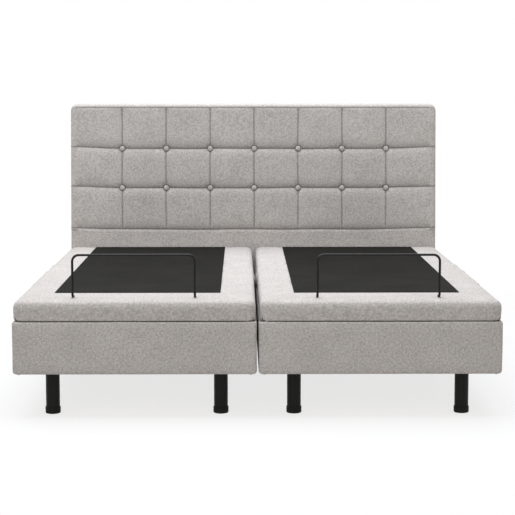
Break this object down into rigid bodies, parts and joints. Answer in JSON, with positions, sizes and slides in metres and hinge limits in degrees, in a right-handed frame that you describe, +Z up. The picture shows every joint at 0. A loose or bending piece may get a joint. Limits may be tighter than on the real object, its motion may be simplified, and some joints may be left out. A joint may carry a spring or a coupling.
{
  "type": "adjustable bed base pair with headboard",
  "caption": "Pair of motorised adjustable bed bases side by side with padded folding decks, a shared tufted headboard, round legs and mattress retainer bars.",
  "frame": {"origin": "on the floor, midway across the bed and midway between the foot face and the headboard's back", "axes": "+Z up, +Y from the foot towards the headboard, X across the bed"},
  "size_m": [1.8, 2.09, 1.137],
  "materials": {
    "border_fabric": "mottled woven upholstery fabric",
    "deck_fabric": "pale woven upholstery fabric",
    "headboard_fabric": "mottled woven upholstery fabric, tufted",
    "plywood": "birch plywood",
    "timber": "planed softwood",
    "black_steel": "black powder coat",
    "frame_steel": "dark grey powder coat",
    "zinc_steel": "zinc plated",
    "leg_plastic": "semi-gloss black",
    "cap_plastic": "matt black",
    "drive_plastic": "fine-grained black moulding",
    "nylon": "natural nylon",
    "lead_pvc": "black PVC sheath"
  },
  "bodies": {
    "root": {"headboard_panel": "headboard_fabric", "headboard_pad": "headboard_fabric", "headboard_buttons": "headboard_fabric", "headboard_bolts": "zinc_steel", "leg_caps": "cap_plastic", "shaft_bearings": "nylon", "hinge_pins": "zinc_steel", "drive_lids": "drive_plastic", "drive_motors": "zinc_steel", "drive_spindles": "zinc_steel", "power_supplies": "drive_plastic", "drive_leads": "lead_pvc", "left_box_frame": "timber", "left_box_cover": "border_fabric", "left_legs": "leg_plastic", "left_main_frame": "frame_steel", "left_seat_board": "plywood", "left_seat_pad": "border_fabric", "left_drive_casing": "drive_plastic", "right_box_frame": "timber", "right_box_cover": "border_fabric", "right_legs": "leg_plastic", "right_main_frame": "frame_steel", "right_seat_board": "plywood", "right_seat_pad": "border_fabric", "right_drive_casing": "drive_plastic"},
    "left_back": {"left_back_board": "plywood", "left_back_pad": "border_fabric", "left_back_frame": "frame_steel"},
    "left_thigh": {"left_thigh_board": "plywood", "left_thigh_pad": "border_fabric", "left_thigh_frame": "frame_steel"},
    "left_calf": {"left_calf_board": "plywood", "left_calf_pad": "border_fabric", "left_calf_frame": "frame_steel", "left_retainer_bar": "black_steel"},
    "left_head_shaft": {"left_head_lift_shaft": "frame_steel"},
    "left_head_roller_pair": {"left_head_rollers": "nylon"},
    "left_head_block": {"left_head_slider": "zinc_steel"},
    "left_foot_shaft": {"left_foot_lift_shaft": "frame_steel"},
    "left_foot_roller_pair": {"left_foot_rollers": "nylon"},
    "left_foot_block": {"left_foot_slider": "zinc_steel"},
    "left_link": {"left_calf_link": "frame_steel"},
    "right_back": {"right_back_board": "plywood", "right_back_pad": "border_fabric", "right_back_frame": "frame_steel"},
    "right_thigh": {"right_thigh_board": "plywood", "right_thigh_pad": "border_fabric", "right_thigh_frame": "frame_steel"},
    "right_calf": {"right_calf_board": "plywood", "right_calf_pad": "border_fabric", "right_calf_frame": "frame_steel", "right_retainer_bar": "black_steel"},
    "right_head_shaft": {"right_head_lift_shaft": "frame_steel"},
    "right_head_roller_pair": {"right_head_rollers": "nylon"},
    "right_head_block": {"right_head_slider": "zinc_steel"},
    "right_foot_shaft": {"right_foot_lift_shaft": "frame_steel"},
    "right_foot_roller_pair": {"right_foot_rollers": "nylon"},
    "right_foot_block": {"right_foot_slider": "zinc_steel"},
    "right_link": {"right_calf_link": "frame_steel"}
  },
  "joints": [
    {"name": "left_back_lift", "type": "hinge", "parent": "root", "child": "left_back", "pos_m": [-0.452, 0.175, 0.424], "axis": [1, 0, 0], "range_deg": [0, 60]},
    {"name": "left_leg_lift", "type": "hinge", "parent": "root", "child": "left_thigh", "pos_m": [-0.452, -0.075, 0.424], "axis": [-1, 0, 0], "range_deg": [0, 35]},
    {"name": "left_knee_fold", "type": "hinge", "parent": "left_thigh", "child": "left_calf", "pos_m": [-0.452, -0.495, 0.353], "axis": [-1, 0, 0], "range_deg": [-35, 0]},
    {"name": "left_calf_link_turn", "type": "hinge", "parent": "root", "child": "left_link", "pos_m": [-0.452, -0.425, 0.32], "axis": [-1, 0, 0], "range_deg": [0, 35]},
    {"name": "left_head_shaft_turn", "type": "hinge", "parent": "root", "child": "left_head_shaft", "pos_m": [-0.452, 0.275, 0.28], "axis": [1, 0, 0], "range_deg": [0, 60]},
    {"name": "left_foot_shaft_turn", "type": "hinge", "parent": "root", "child": "left_foot_shaft", "pos_m": [-0.452, -0.175, 0.28], "axis": [-1, 0, 0], "range_deg": [0, 35]},
    {"name": "left_head_roller_spin", "type": "hinge", "parent": "left_head_shaft", "child": "left_head_roller_pair", "pos_m": [-0.452, 0.48775, 0.336], "axis": [1, 0, 0], "range_deg": [-526, 0]},
    {"name": "left_foot_roller_spin", "type": "hinge", "parent": "left_foot_shaft", "child": "left_foot_roller_pair", "pos_m": [-0.452, -0.38775, 0.336], "axis": [-1, 0, 0], "range_deg": [-307, 0]},
    {"name": "left_head_slide", "type": "slide", "parent": "root", "child": "left_head_block", "axis": [0, 1, 0], "range_m": [0, 0.0455]},
    {"name": "left_foot_slide", "type": "slide", "parent": "root", "child": "left_foot_block", "axis": [0, -1, 0], "range_m": [0, 0.0275]},
    {"name": "right_back_lift", "type": "hinge", "parent": "root", "child": "right_back", "pos_m": [0.452, 0.175, 0.424], "axis": [1, 0, 0], "range_deg": [0, 60]},
    {"name": "right_leg_lift", "type": "hinge", "parent": "root", "child": "right_thigh", "pos_m": [0.452, -0.075, 0.424], "axis": [-1, 0, 0], "range_deg": [0, 35]},
    {"name": "right_knee_fold", "type": "hinge", "parent": "right_thigh", "child": "right_calf", "pos_m": [0.452, -0.495, 0.353], "axis": [-1, 0, 0], "range_deg": [-35, 0]},
    {"name": "right_calf_link_turn", "type": "hinge", "parent": "root", "child": "right_link", "pos_m": [0.452, -0.425, 0.32], "axis": [-1, 0, 0], "range_deg": [0, 35]},
    {"name": "right_head_shaft_turn", "type": "hinge", "parent": "root", "child": "right_head_shaft", "pos_m": [0.452, 0.275, 0.28], "axis": [1, 0, 0], "range_deg": [0, 60]},
    {"name": "right_foot_shaft_turn", "type": "hinge", "parent": "root", "child": "right_foot_shaft", "pos_m": [0.452, -0.175, 0.28], "axis": [-1, 0, 0], "range_deg": [0, 35]},
    {"name": "right_head_roller_spin", "type": "hinge", "parent": "right_head_shaft", "child": "right_head_roller_pair", "pos_m": [0.452, 0.48775, 0.336], "axis": [1, 0, 0], "range_deg": [-526, 0]},
    {"name": "right_foot_roller_spin", "type": "hinge", "parent": "right_foot_shaft", "child": "right_foot_roller_pair", "pos_m": [0.452, -0.38775, 0.336], "axis": [-1, 0, 0], "range_deg": [-307, 0]},
    {"name": "right_head_slide", "type": "slide", "parent": "root", "child": "right_head_block", "axis": [0, 1, 0], "range_m": [0, 0.0455]},
    {"name": "right_foot_slide", "type": "slide", "parent": "root", "child": "right_foot_block", "axis": [0, -1, 0], "range_m": [0, 0.0275]}
  ],
  "couplings": [
    {"joint": "left_knee_fold", "follows": "left_leg_lift", "ratio": -1},
    {"joint": "left_calf_link_turn", "follows": "left_leg_lift", "ratio": 1},
    {"joint": "left_head_shaft_turn", "follows": "left_back_lift", "ratio": 1},
    {"joint": "left_foot_shaft_turn", "follows": "left_leg_lift", "ratio": 1},
    {"joint": "left_head_roller_spin", "follows": "left_back_lift", "ratio": -8.7658},
    {"joint": "left_foot_roller_spin", "follows": "left_leg_lift", "ratio": -8.7658},
    {"joint": "left_head_slide", "follows": "left_back_lift", "m_per_rad": 0.04297},
    {"joint": "left_foot_slide", "follows": "left_leg_lift", "m_per_rad": 0.0443},
    {"joint": "right_knee_fold", "follows": "right_leg_lift", "ratio": -1},
    {"joint": "right_calf_link_turn", "follows": "right_leg_lift", "ratio": 1},
    {"joint": "right_head_shaft_turn", "follows": "right_back_lift", "ratio": 1},
    {"joint": "right_foot_shaft_turn", "follows": "right_leg_lift", "ratio": 1},
    {"joint": "right_head_roller_spin", "follows": "right_back_lift", "ratio": -8.7658},
    {"joint": "right_foot_roller_spin", "follows": "right_leg_lift", "ratio": -8.7658},
    {"joint": "right_head_slide", "follows": "right_back_lift", "m_per_rad": 0.04297},
    {"joint": "right_foot_slide", "follows": "right_leg_lift", "m_per_rad": 0.0443}
  ]
}
